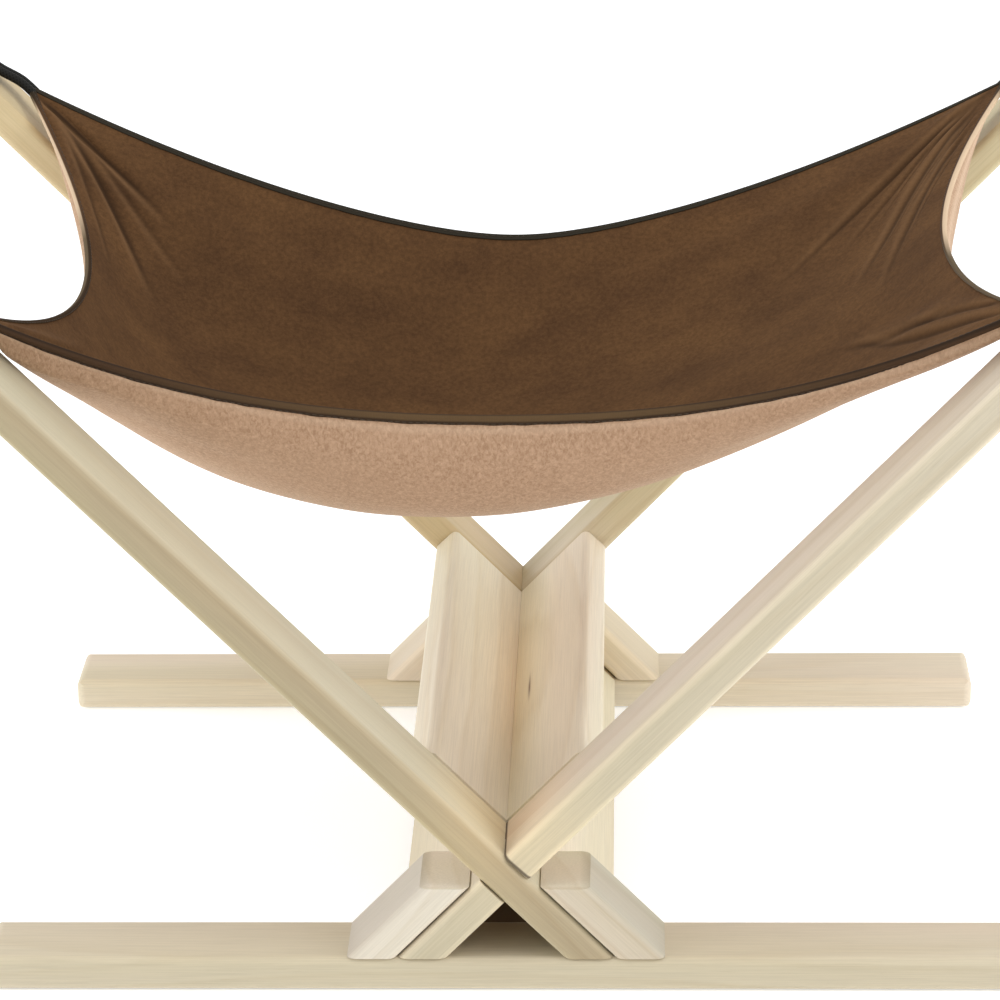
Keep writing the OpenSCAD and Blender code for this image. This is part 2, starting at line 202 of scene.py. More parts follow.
def mapSpot(tree):
    return tree.nodes.new("ShaderNodeUVMap").outputs[0]


def startGroup(name, ins, outs):
    tree = bpy.data.node_groups.new(name, "ShaderNodeTree")
    for label, kind, value in ins:
        socket = tree.interface.new_socket(label, in_out="INPUT", socket_type="NodeSocket" + kind)
        if value is not None:
            socket.default_value = value
    for label, kind in outs:
        tree.interface.new_socket(label, in_out="OUTPUT", socket_type="NodeSocket" + kind)
    return tree, tree.nodes.new("NodeGroupInput").outputs, tree.nodes.new("NodeGroupOutput")


def placeGroup(tree, group, inputs):
    return addNode(tree, "ShaderNodeGroup", inputs, node_tree=group).outputs


def startMaterial(name):
    mat = bpy.data.materials.new(name)
    mat.use_nodes = True
    tree = mat.node_tree
    tree.nodes.clear()
    out = tree.nodes.new("ShaderNodeOutputMaterial")
    skin = tree.nodes.new("ShaderNodeBsdfPrincipled")
    tree.links.new(skin.outputs[0], out.inputs[0])
    return mat, tree, skin


def finishSkin(tree, skin, s, shade, grain, high):  # colour, roughness by the grain, relief, fixed values
    feed(tree, skin, {"Base Color": shade, "Roughness": calc(tree, "*+", grain, s["roughGrain"], s["rough"]),
                      "Normal": bump(tree, high, s["bump"], s["bumpDeep"]), **s["fixed"]})


# board wood: pale planed softwood, rings round a far heart, fine fibres, broad tints

woodSet = dict(
    pale=linear(222, 211, 191), late=linear(201, 183, 153), green=linear(208, 198, 168),
    pink=linear(217, 199, 179), knot=linear(92, 62, 40), lineDark=linear(64, 47, 30),
    sanded=(1.20, 1.19, 1.18, 1.0), seedWay=(0.83, 0.29, 0.47),
    # repeats in a metre, along the board and across it
    slow=(2.2, 5.0, 5.0), grit=(14.0, 120.0, 120.0), cloud=(3.0, 26.0, 26.0), broad=(1.4, 17.0, 17.0),
    fibre=(22.0, 1300.0, 1300.0), pore=(70.0, 2600.0, 2600.0),
    ring=0.011, wander=0.054, gritHigh=0.004, knotHigh=0.006, knotLong=0.06, figure=1.5,
    lateShare=0.5, fibreShare=0.55, poreShare=0.16, knotShare=0.9, lineShare=0.85,
    faceAt=-0.2, faceSoft=0.004, edge=0.004, edgeFull=2.0, lineWide=0.0008, lineSoft=1.5,
    rough=0.42, roughFibre=0.16, roughBand=0.06, highFibre=0.6, highPore=-0.5, highBand=-0.2,
    bump=0.25, bumpDeep=0.0006, shine=0.35,
)


def makeBoardGrain(s):
    untinted, nowhere = grey(1.0), (9.0, 9.0, 9.0)
    tree, i, o = startGroup("boardGrain", [
        ("Place", "Vector", None), ("Heart", "Vector", (0.0, 0.02, -0.07)), ("Seed", "Float", 0.0),
        ("Figure", "Float", 1.0), ("KnotPlace", "Vector", nowhere), ("KnotSize", "Float", 0.004),
        ("Tint", "Color", untinted), ("FrontShade", "Color", untinted), ("LineAt", "Float", 9.0),
        ("PatchPlace", "Vector", nowhere), ("PatchSize", "Vector", (0.01, 0.01, 0.01)),
        ("PatchLightShade", "Color", untinted), ("EdgeShare", "Float", 0.35), ("OuterWay", "Float", 0.0),
        ("OuterShade", "Color", untinted), ("Middle", "Vector", (0.0, 0.0, 0.0)), ("Inside", "Vector", nowhere),
    ], [("Color", "Color"), ("Roughness", "Float"), ("Height", "Float")])
    here = vec(tree, "+", i["Place"], stretch(tree, i["Seed"], s["seedWay"]))
    # knot: how near this place is to it, stretched along the board
    gap = stretch(tree, vec(tree, "-", i["Place"], i["KnotPlace"]), (s["knotLong"], 1.0, 1.0))
    near = calc(tree, "/", vec(tree, "LENGTH", gap), i["KnotSize"])
    knot = bell(tree, calc(tree, "*", near, near))
    # rings: distance from the heart line, which wanders along the board
    drift = vec(tree, "-", noise(tree, here, s["slow"], 1.0, out=1), (0.5, 0.5, 0.5))
    drift = stretch(tree, drift, (0.0, s["wander"], s["wander"]))
    off = vec(tree, "+", vec(tree, "-", i["Place"], i["Heart"]), drift)
    far = vec(tree, "LENGTH", stretch(tree, off, (0.0, 1.0, 1.0)))
    grit = calc(tree, "-", noise(tree, here, s["grit"], 3.0), 0.5)
    far = calc(tree, "*+", grit, s["gritHigh"], far)
    far = calc(tree, "*+", knot, s["knotHigh"], far)
    turn = calc(tree, "FRACT", calc(tree, "/", far, s["ring"]))
    band = ramp(tree, turn, [(0.0, 0.0), (0.62, 0.35), (0.86, 1.0), (0.97, 0.25), (1.0, 0.0)])
    band = calc(tree, "*", band, noise(tree, here, s["cloud"]))
    band = calc(tree, "*", band, calc(tree, "*", i["Figure"], s["figure"]), clamp=True)
    shade = blend(tree, calc(tree, "*", band, s["lateShare"]), s["pale"], s["late"])
    tint = noise(tree, here, s["broad"], 1.0)
    shade = blend(tree, ramp(tree, tint, [(0.42, 0.0), (0.72, 0.65)]), shade, s["green"])
    shade = blend(tree, ramp(tree, tint, [(0.30, 0.6), (0.50, 0.0)]), shade, s["pink"])
    # fibres: fine streaks along the board
    fibre = noise(tree, here, s["fibre"], 3.0, 0.6)
    shade = blend(tree, s["fibreShare"], shade, ramp(tree, fibre, [(0.34, 0.86), (0.62, 1.04)]), "*")
    pore = ramp(tree, noise(tree, here, s["pore"], 1.0), [(0.66, 0.0), (0.78, 1.0)])
    shade = blend(tree, calc(tree, "*", pore, s["poreShare"]), shade, s["late"], "*")
    shade = blend(tree, calc(tree, "*", knot, s["knotShare"]), shade, s["knot"])
    # tint of the board, partly painted light and shade, painted shade on its front face, and one patch that paints
    # light on some boards and shade on others
    part = split(tree, i["Place"])
    face = calc(tree, "/", calc(tree, "-", s["faceAt"], part[1]), s["faceSoft"], clamp=True)
    shade = blend(tree, 1.0, shade, blend(tree, face, i["Tint"], i["FrontShade"]), "*")
    away = vec(tree, "/", vec(tree, "-", i["Place"], i["PatchPlace"]), i["PatchSize"])
    shade = blend(tree, bell(tree, vec(tree, "DOT_PRODUCT", away, away)), shade, i["PatchLightShade"], "*")
    # painted highlight on the rounded long edges, and painted shade on a block's outer slope: how far round the
    # turn from one face to the next
    away = vec(tree, "-", i["Place"], i["Middle"])
    outer = calc(tree, "*", split(tree, away)[2], i["OuterWay"])
    away = split(tree, vec(tree, "-", vec(tree, "ABSOLUTE", away), i["Inside"]))
    turned = [calc(tree, "/", away[k], s["edge"], clamp=True) for k in (1, 2)]
    outer = calc(tree, "*", calc(tree, "GREATER_THAN", outer, 0.0), turned[1])
    shade = blend(tree, outer, shade, i["OuterShade"], "*")
    full = calc(tree, "*", i["EdgeShare"], s["edgeFull"])
    full = calc(tree, "*", calc(tree, "*", *turned), full, clamp=True)
    shade = blend(tree, full, shade, s["sanded"], "*")
    # a dark line across the board where it butts against another
    past = calc(tree, "ABSOLUTE", calc(tree, "-", part[0], i["LineAt"]))
    line = calc(tree, "-", s["lineSoft"], calc(tree, "/", past, s["lineWide"]), clamp=True)
    shade = blend(tree, calc(tree, "*", line, s["lineShare"]), shade, s["lineDark"])
    rough = calc(tree, "*+", fibre, s["roughFibre"], s["rough"])
    rough = calc(tree, "*+", band, s["roughBand"], rough)
    high = calc(tree, "*+", pore, s["highPore"], calc(tree, "*", fibre, s["highFibre"]))
    high = calc(tree, "*+", band, s["highBand"], high)
    feed(tree, o, {"Color": shade, "Roughness": rough, "Height": high})
    return tree


boardGrain = makeBoardGrain(woodSet)


def boardBox(node, turn, edge):  # middle of a board along its own grain, and how far its flat faces reach
    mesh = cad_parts[node].data
    points = np.zeros(len(mesh.vertices) * 3, np.float32)
    mesh.vertices.foreach_get("co", points)
    points = points.reshape(-1, 3) @ np.array(Euler(turn).to_matrix()).T
    low, high = points.min(0), points.max(0)
    return ((low + high) / 2).tolist(), ((high - low) / 2 - edge).tolist()


def makeBoardWood(node, turn, heart, seed, figure, tint, frontShade, extra, s):
    mat, tree, skin = startMaterial("wood_" + node)
    along = addNode(tree, "ShaderNodeMapping", {"Vector": objectSpot(tree), "Rotation": turn}, vector_type="POINT")
    inputs = {"Place": along.outputs[0], "Heart": heart, "Seed": seed, "Figure": figure,
              "Tint": (*tint, 1.0), "FrontShade": (*frontShade, 1.0)}
    if not node.startswith("spine"):
        inputs["Middle"], inputs["Inside"] = boardBox(node, turn, s["edge"])
    grain = placeGroup(tree, boardGrain, {**inputs, **extra})
    feed(tree, skin, {"Base Color": grain["Color"], "Roughness": grain["Roughness"],
                      "Normal": bump(tree, grain["Height"], s["bump"], s["bumpDeep"]),
                      "Specular IOR Level": s["shine"]})
    return mat


lean = math.radians(46.0)
flatX = (0.0, 0.0, 0.0)  # grain along X
alongY = (0.0, 0.0, -math.pi / 2)  # grain along Y
upRight = (0.0, lean, 0.0)  # grain along a board that rises to the right
upLeft = (0.0, -lean, 0.0)  # grain along a board that rises to the left
plain = (1.0, 1.0, 1.0)
# the tint is each board's tone, partly painted light and shade: paler on the spine boards in the trough, darker on
# the rear arms under the bed; the front face's tint is painted shade on that face
boardSet = {  # turn, heart line, seed, strength of the figure, tint, tint of the front face
    "base_front": (flatX, (0.0, -0.17, -0.075), 1.3, 1.0, (0.89, 0.88, 0.87), (0.80, 0.79, 0.76)),
    "base_rear": (flatX, (0.0, 0.21, -0.09), 2.9, 0.5, (1.0, 0.99, 0.97), plain),
    "arm_front_left": (upLeft, (0.0, -0.215, -0.03), 4.1, 1.0, (0.79, 0.83, 0.76), (0.55, 0.51, 0.40)),
    "arm_front_right": (upRight, (0.0, -0.14, -0.02), 5.7, 0.9, (0.87, 0.86, 0.89), (0.78, 0.77, 0.74)),
    "arm_rear_left": (upLeft, (0.0, 0.23, -0.05), 7.3, 0.9, (0.82, 0.73, 0.56), plain),
    "arm_rear_right": (upRight, (0.0, 0.13, -0.04), 8.6, 1.0, (0.78, 0.75, 0.60), plain),
    "block_front_left": (upRight, (0.0, -0.13, -0.2), 10.2, 0.8, (1.04, 1.05, 1.18), (0.97, 0.99, 1.08)),
    "block_front_right": (upLeft, (0.0, -0.22, -0.2), 11.9, 0.9, (0.95, 1.00, 1.03), (0.80, 0.78, 0.76)),
    "block_rear_left": (upRight, (0.0, 0.14, -0.2), 13.4, 0.8, (1.0, 0.99, 0.96), plain),
    "block_rear_right": (upLeft, (0.0, 0.22, -0.2), 14.8, 0.8, (0.95, 0.92, 0.84), plain),
    "spine_full_board": (alongY, (0.0, 0.03, -0.02), 16.3, 1.0, (1.08, 1.11, 1.10), plain),
    "spine_upper_board": (alongY, (0.0, -0.08, 0.0), 18.1, 1.1, (1.08, 1.11, 1.10), plain),
    "spine_lower_board": (alongY, (0.0, -0.05, -0.03), 19.7, 0.8, (1.0, 1.0, 0.98), plain),
}


def laid(turn, place):  # a place of the shared frame along a board's own grain
    return tuple(Euler(turn).to_matrix() @ Vector(place))


# painted shade on the base tops where the legs keep the light off
dimPlace = {"PatchSize": (0.042, 0.03, 0.006), "PatchLightShade": (0.42, 0.32, 0.23, 1.0)}
# painted light on the arms' tops at the corner of the crossing
crossingLight = {"PatchSize": (0.035, 0.04, 0.03), "PatchLightShade": (1.36, 1.26, 1.12, 1.0)}
# painted light on the spine beside its seam, less towards the rear end
seamLight = {"PatchPlace": (0.02, 0.0, 0.0745), "PatchSize": (0.11, 0.016, 5.0),
             "PatchLightShade": (1.34, 1.32, 1.30, 1.0)}
# painted light, paler and bluer, on the rear right arm above the rear crossing
rearCrossingLight = {"PatchSize": (0.03, 0.06, 0.03), "PatchLightShade": (1.14, 1.17, 1.40, 1.0)}
# painted shade on the outer slope of the front blocks
slopeShade = {"OuterWay": 1.0, "OuterShade": (0.74, 0.74, 0.72, 1.0)}
# the patches are painted light and painted shade, the paler edges a painted highlight
boardExtra = {  # patches, paler edges, the dark butt line in front, the small knot streak right of the seam
    "base_front": {"PatchPlace": (0.0, -0.160, 0.018), **dimPlace},
    "base_rear": {"PatchPlace": (0.0, 0.160, 0.018), **dimPlace},
    "arm_front_left": {"PatchPlace": laid(upLeft, (-0.012, -0.170, 0.084)), **crossingLight},
    "arm_front_right": {"PatchPlace": laid(upRight, (0.012, -0.170, 0.084)), **crossingLight,
                        "EdgeShare": 1.0, "LineAt": 0.0540},
    "arm_rear_left": {"EdgeShare": 0.2},
    "arm_rear_right": {"PatchPlace": laid(upRight, (0.022, 0.180, 0.097)), **rearCrossingLight, "EdgeShare": 0.2},
    "block_front_left": slopeShade,
    "block_front_right": slopeShade,
    "spine_full_board": seamLight,
    "spine_upper_board": {"KnotPlace": (-0.005, -0.0084, 0.0832), "KnotSize": 0.0008, **seamLight},
}


def dress(node, mat):
    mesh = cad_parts[node].data
    if not mesh.materials:
        mesh.materials.append(mat)
    for k in range(len(mesh.materials)):
        mesh.materials[k] = mat


for nodeName, boardLook in boardSet.items():
    dress(nodeName, makeBoardWood(nodeName, *boardLook, boardExtra.get(nodeName, {}), woodSet))
print("boards dressed:", len(boardSet))

# fasteners: beech pins and zinc screws

beechSet = dict(pale=linear(206, 176, 132), fleck=linear(160, 118, 78), often=(900.0, 90.0, 900.0), share=0.6,
                rough=0.5, roughFleck=0.1)


def makeBeech(s):
    mat, tree, skin = startMaterial("beech_pin")
    fleck = ramp(tree, noise(tree, objectSpot(tree), s["often"]), [(0.5, 0.0), (0.7, 1.0)])
    shade = blend(tree, calc(tree, "*", fleck, s["share"]), s["pale"], s["fleck"])
    rough = calc(tree, "*+", fleck, s["roughFleck"], s["rough"])
    feed(tree, skin, {"Base Color": shade, "Roughness": rough})
    return mat


zincSet = dict(bright=linear(196, 194, 186), dull=linear(150, 146, 136), cloud=420.0, grit=2600.0,
               rough=0.22, roughGrain=0.25, bump=0.1, bumpDeep=0.0002, fixed={"Metallic": 1.0})


def makeZinc(s):
    mat, tree, skin = startMaterial("zinc_screw")
    spot = objectSpot(tree)
    cloud = noise(tree, spot, s["cloud"], 3.0)
    shade = blend(tree, cloud, s["dull"], s["bright"])
    finishSkin(tree, skin, s, shade, cloud, noise(tree, spot, s["grit"]))
    return mat


dress("spine_dowels", makeBeech(beechSet))
zincScrew = makeZinc(zincSet)
dress("block_screws", zincScrew)
dress("leg_screws", zincScrew)
print("fasteners dressed")

# elastic loops: doubled cord from each bed corner, round the arm in its notch

loopSet = dict(
    wide=5.0, gap=0.5, armTop=9.0, armHalf=22.5, edge=4.0, armY=181.5, crossZ=61.5, reach=452.0, lead=16.0,
    rear=(418.0, 18.2), front=(389.0, 18.8), begin=4.2, tuck=7.0, sides=16, step=1.2,
    guide=(0.37, 0.81, 0.45),  # a direction that no cord follows
)


def armPlace(a, depth, p, side, sy, s):  # arm frame (along, depth, height) to the shared frame, metres
    x = side * (a * math.cos(lean) - p * math.sin(lean))
    z = s["crossZ"] + a * math.sin(lean) + p * math.cos(lean)
    return np.stack([x, sy * s["armY"] + depth, z], -1) / 1000


def turnPoints(height, depth, r, start, step):  # three points of a quarter turn
    k = np.radians(start + step * np.arange(1, 4))
    return np.stack([height + r * np.sin(k), depth - r * np.cos(k)], -1)


def loopRoute(sy, s):  # the route of half the loop and its mirror, as along, height, depth in mm
    r = s["wide"] / 2
    corner, cornerP = s["front"] if sy < 0 else s["rear"]
    top, pair, side = s["armTop"] + r + s["gap"], r + s["gap"], s["armHalf"] + r + s["gap"]
    turnR, notchR = s["edge"] + r + s["gap"], side - s["armHalf"] + 2 * s["gap"]
    edge, flat, low = s["armHalf"] - s["edge"], s["armTop"] - s["edge"], side - notchR
    at, lead = s["reach"], s["lead"]
    # from the sewn corner to the arm's top, apart over the lead, then across to the edge
    half = [(corner - s["tuck"], cornerP, -pair), (corner + s["begin"], cornerP - 0.3, -pair),
            (at - lead, top + 2.2, -pair), (at - lead * 0.4, top + 0.6, -pair - s["gap"]),
            (at - lead * 0.12, top, -pair - lead * 0.25), (at, top, -pair - lead * 0.55), (at, flat + turnR, -edge)]
    half += [(at, h, d) for h, d in turnPoints(flat, -edge, turnR, 90, -30)]
    half += [(at, notchR - s["armTop"], -side)]
    half += [(at, h, d) for h, d in turnPoints(notchR - s["armTop"], -low, notchR, 0, -30)]
    half += [(at, -s["armTop"], -low * 0.4)]
    half = np.array(half)
    back = half[::-1] * (1, 1, -1)
    return np.concatenate([half, back])


def smoothLine(points, step):  # cubic through the points by their distance, then even steps
    d = runAlong(points)
    m = np.gradient(points, d, axis=0)
    t = np.linspace(0, d[-1], int(d[-1] / step) * 4)
    k = np.clip(np.searchsorted(d, t, side="right") - 1, 0, len(d) - 2)
    h = (d[k + 1] - d[k])[:, None]
    f = ((t - d[k]) / h[:, 0])[:, None]
    line = ((2 * f**3 - 3 * f**2 + 1) * points[k] + (f**3 - 2 * f**2 + f) * h * m[k]
            + (3 * f**2 - 2 * f**3) * points[k + 1] + (f**3 - f**2) * h * m[k + 1])
    run = runAlong(line)
    even = np.linspace(0, run[-1], int(run[-1] / step))
    return np.stack([np.interp(even, run, line[:, c]) for c in range(3)], -1)


elasticSet = dict(dark=linear(10, 10, 9), light=linear(36, 35, 31), pitch=2.2, strands=6.0, share=0.6,
                  rough=0.75, roughGrain=-0.15, bump=0.6, bumpDeep=0.0004, fixed={"Specular IOR Level": 0.2})


def makeElastic(s):  # braid: the higher of two waves that wind round the cord in opposite ways
    mat, tree, skin = startMaterial("elastic_braid")
    part = split(tree, mapSpot(tree))
    across = calc(tree, "*", part[0], s["strands"])
    ahead = calc(tree, "*", part[1], 1000 / s["pitch"])
    weave = calc(tree, "MAXIMUM", *[swing(tree, calc(tree, how, across, ahead)) for how in ("+", "-")])
    shade = blend(tree, calc(tree, "*", weave, s["share"]), s["dark"], s["light"])
    finishSkin(tree, skin, s, shade, weave, weave)
    return mat


elasticBraid = makeElastic(elasticSet)


def tubeRings(line, size, sides, guide):  # a round profile along the line, first point again for the map
    along = unit(np.gradient(line, axis=0))
    left = unit(np.cross(np.array(guide), along))
    up = np.cross(along, left)
    a = np.linspace(0, 2 * np.pi, sides + 1)[None, :, None]
    return line[:, None] + size[:, None, None] * (np.cos(a) * left[:, None] + np.sin(a) * up[:, None])


def makeLoop(node, side, sy, s):
    route = loopRoute(sy, s)
    line = smoothLine(armPlace(route[:, 0], route[:, 2], route[:, 1], side, sy, s) * 1000, s["step"]) / 1000
    size = np.full(len(line), s["wide"] / 2000)
    size[0] = size[-1] = 0.0  # both ends close to a point inside the sewn corner
    rings = tubeRings(line, size, s["sides"], s["guide"])
    run = runAlong(line)
    uv = np.stack(np.meshgrid(np.linspace(0, 1, s["sides"] + 1), run), -1)
    quads = gridQuads(len(line), s["sides"] + 1)
    piece = makePiece(node.replace("loop_", "elastic_"), elasticBraid, rings, quads, uv, weld=True)
    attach(piece, "bed")
    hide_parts(node)


for nodeName, sideAt, depthAt in (("loop_front_left", -1, -1), ("loop_front_right", 1, -1),
                                  ("loop_rear_left", -1, 1), ("loop_rear_right", 1, 1)):
    makeLoop(nodeName, sideAt, depthAt, loopSet)
print("elastic loops made")

# bed: one curved surface, cloth layers at heights along its normal

bedSet = dict(
    cornerX=266.99, cornerSkew=10.29, armY=181.5, bowlZ=221.61, lean=10.22, deep=143.0, sideRise=106.0,
    sideSkew=12.4, rimRise=70.0, rimSkew=8.0, sideCut=41.0, cutSkew=2.4, rimCut=31.5, tilt=44.98, settle=0.13,
    sidePower=1.86, powerSlope=0.39, rimPower=3.5, edgePower=2.0, cutPower=3, foldHigh=3.0, foldReach=0.35,
    foldHem=0.2, corner=6.0, middleEase=0.10, crowd=1.35, sideScale=0.8, hem=0.3, hemReach=15, waveReach=(5, 30),
)


def bedMid(u, v, s):  # millimetres: bowl, rims raised by powers of u and v, sides and rims cut in, corner folds
    power, ease = s["sidePower"] - s["powerSlope"] * v, s["middleEase"]
    gu = ((u * u + ease**2) ** (power / 2) - ease**power) / ((1 + ease**2) ** (power / 2) - ease**power)
    shift = s["settle"] * (1 - gu) * (1 - v * v)
    gv = np.abs(v + shift) ** (s["rimPower"] + (s["edgePower"] - s["rimPower"]) * gu)
    cut = (s["sideCut"] * u - s["cutSkew"] * np.abs(u)) * np.abs(u) ** s["cutPower"] * (1 - v * v)
    du, dv = 1 - np.abs(u), 1 - np.abs(v)
    far = np.hypot(du, dv) / s["foldReach"]
    hem = np.minimum(1, np.minimum(du, dv) / s["foldHem"])
    fold = s["foldHigh"] * np.sin(4 * np.arctan2(dv, du)) * far * np.exp(1 - far) * hem**2
    z = (s["bowlZ"] + (s["sideRise"] + s["sideSkew"] * u) * gu * (1 - gv)
         + (s["rimRise"] - s["rimSkew"] * v) * gv * (1 - gu)
         + s["deep"] * gu * gv + s["lean"] * v + s["tilt"] * u * (1 - u * u) * (1 - v * v) + fold)
    x = u * (s["cornerX"] + s["cornerSkew"] * v) - cut
    return np.stack([x, v * (s["armY"] - s["rimCut"] * (1 - u * u)), z], -1)


def bedNormal(u, v, s, h=0.002):  # upward normal by differences, held inside the edge
    uc, vc = np.clip(u, h - 1, 1 - h), np.clip(v, h - 1, 1 - h)
    return unit(np.cross(bedMid(uc + h, vc, s) - bedMid(uc - h, vc, s),
                         bedMid(uc, vc + h, s) - bedMid(uc, vc - h, s)))


def roundCorner(u, v, s):  # the four corners of the square drawn in to quarter rounds
    ru, rv = s["corner"] / s["cornerX"], s["corner"] / s["armY"]
    a = np.clip((np.abs(u) - 1 + ru) / ru, 0, None)
    b = np.clip((np.abs(v) - 1 + rv) / rv, 0, None)
    both = (a > 0) & (b > 0)
    newA = np.where(both, a * np.sqrt(np.clip(1 - b * b / 2, 0, 1)), a)
    newB = np.where(both, b * np.sqrt(np.clip(1 - a * a / 2, 0, 1)), b)
    return (np.where(a > 0, np.sign(u) * (1 - ru + ru * newA), u),
            np.where(b > 0, np.sign(v) * (1 - rv + rv * newB), v))


def edgeSpaced(count, crowd):  # from -1 to 1, closer together towards both ends
    t = np.linspace(-1, 1, count)
    return np.sign(t) * (1 - (1 - np.abs(t)) ** crowd)


def easeIn(x, start, end):  # 0 before start, 1 after end, smooth between
    t = np.clip((x - start) / (end - start), 0, 1)
    return t * t * (3 - 2 * t)


def ripple(u, v, inset, s, seed):  # soft unevenness away from the edge: a few sines with periods in mm
    x, y = u * s["cornerX"], v * s["armY"]
    wave = (np.sin(x / 31 + 1.3 * np.sin(y / 47 + seed)) * np.sin(y / 27 + seed * 2.1)
            + 0.6 * np.sin(x / 17 + y / 23 + seed * 3.7) * np.sin(y / 19 - x / 41 + seed))
    return wave * easeIn(inset, *s["waveReach"])


def layer(inset, near, far, s):  # height of a cloth's open face, its thickness sewn flat at the edge
    return near + (far - near) * (s["hem"] + (1 - s["hem"]) * easeIn(inset, 0, s["hemReach"]))


def bedGrid(columns, rows, s):  # u, v, place, upward normal, map and distance from the edge over the whole bed
    u, v = roundCorner(*np.meshgrid(edgeSpaced(columns, s["crowd"]), edgeSpaced(rows, s["crowd"])), s)
    flat = np.stack([u * s["cornerX"], v * s["armY"]], -1) / 1000
    inset = np.minimum((1 - np.abs(u)) * s["cornerX"] * s["sideScale"], (1 - np.abs(v)) * s["armY"])
    return u, v, bedMid(u, v, s), bedNormal(u, v, s), flat, inset


def makeCloth(name, mat, low, high, flat):  # two layers of one grid, in mm, and the strip that joins their edges
    rows, cols = high.shape[:2]
    n = rows * cols
    top = gridQuads(rows, cols)
    idx = np.arange(n).reshape(rows, cols)
    ring = np.concatenate([idx[0, :-1], idx[:-1, -1], idx[-1, :0:-1], idx[:0:-1, 0]])
    nxt = np.roll(ring, -1)
    wall = np.stack([ring + n, nxt + n, nxt, ring], -1)
    points = np.stack([high, low]).reshape(-1, 3) / 1000
    quads = np.concatenate([top, top[:, ::-1] + n, wall])
    return makePiece(name, mat, points, quads, np.concatenate([flat.reshape(-1, 2)] * 2))


print("bed surface ready")

# outer shell of short plush

plushSet = dict(
    low=-4.6, high=-0.2, wave=0.35, seed=0.7, columns=201, rows=161, highlightAt=3.7, highlightWide=0.55, fullFrom=0.8,
    full=(  # fuller places: near u, v, wide by u, v, high in mm, and reached this far from the edge
        (0.97, 0.32, 0.07, 0.58, 10.5, 6.0), (0.94, -0.93, 0.26, 0.20, 5.6, 6.0),
        (-0.98, 0.50, 0.05, 0.62, 4.0, 3.4), (-0.92, -0.9, 0.13, 0.22, 6.4, 14.0),
        (-0.02, -0.45, 0.42, 0.60, 3.4, 60.0),
    ),
    main=linear(170, 138, 111), dark=linear(155, 123, 97), light=linear(185, 153, 126), rim=linear(208, 182, 156),
    lie=(1.0, 1.0, 0.45),  # tufts lie a little up and down
    clump=640.0, tuft=1700.0, broad=22.0, broadFrom=0.42, broadShare=0.9, tuftShare=0.5, rimShare=0.6,
    rough=0.82, roughGrain=0.12, highClump=0.6, highTuft=0.4, bump=0.5, bumpDeep=0.001,
    fixed={"Sheen Weight": 0.5, "Sheen Roughness": 0.4, "Sheen Tint": linear(240, 222, 202),
           "Specular IOR Level": 0.08},
)


def makePlush(s):
    mat, tree, skin = startMaterial("plush_pile")
    spot = objectSpot(tree)
    pile = stretch(tree, spot, s["lie"])
    clump = noise(tree, pile, s["clump"], 2.0, 0.6, 0.5)
    tuft = noise(tree, pile, s["tuft"], 2.0, 0.6, 0.4)
    broad = calc(tree, "-", noise(tree, spot, s["broad"]), s["broadFrom"])
    shade = ramp(tree, clump, [(0.32, s["dark"]), (0.50, s["main"]), (0.70, s["light"])])
    shade = blend(tree, calc(tree, "*", broad, s["broadShare"], clamp=True), shade, s["light"])
    shade = blend(tree, s["tuftShare"], shade, ramp(tree, tuft, [(0.34, 0.86), (0.62, 1.08)]), "*")
    # painted highlight along the seam below the tape
    rim = addNode(tree, "ShaderNodeAttribute", {}, attribute_name="seamHighlight").outputs["Fac"]
    shade = blend(tree, calc(tree, "*", rim, s["rimShare"]), shade, s["rim"])
    high = calc(tree, "*+", clump, s["highClump"], calc(tree, "*", tuft, s["highTuft"]))
    finishSkin(tree, skin, s, shade, clump, high)
    return mat


def plump(u, v, inset, s):  # fuller places of the shell: a bell round each, nothing at the sewn edge
    atU, atV, wideU, wideV, high, reach = np.array(s["full"]).T
    near = np.exp(-((u[..., None] - atU) / wideU) ** 2 - ((v[..., None] - atV) / wideV) ** 2)
    return (near * high * easeIn(inset[..., None], s["fullFrom"], reach)).sum(-1)


def makeShell(s):
    u, v, place, up, flat, inset = bedGrid(s["columns"], s["rows"], bedSet)
    wave = s["wave"] * ripple(u, v, inset, bedSet, s["seed"]) - plump(u, v, inset, s)
    low = layer(inset, s["high"], s["low"], bedSet) + wave
    piece = makeCloth("plush_shell", makePlush(s), place + low[..., None] * up, place + s["high"] * up, flat)
    # painted highlight: a band a few mm in from the sewn edge
    roll = np.exp(-((inset.ravel() - s["highlightAt"]) / s["highlightWide"]) ** 2)
    trait = piece.data.attributes.new("seamHighlight", "FLOAT", "POINT")
    trait.data.foreach_set("value", np.concatenate([roll] * 2).astype(np.float32))
    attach(piece, "bed")
    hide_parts("bed_shell")
    return piece


plushShell = makeShell(plushSet)

# inner lining of brushed suede cloth

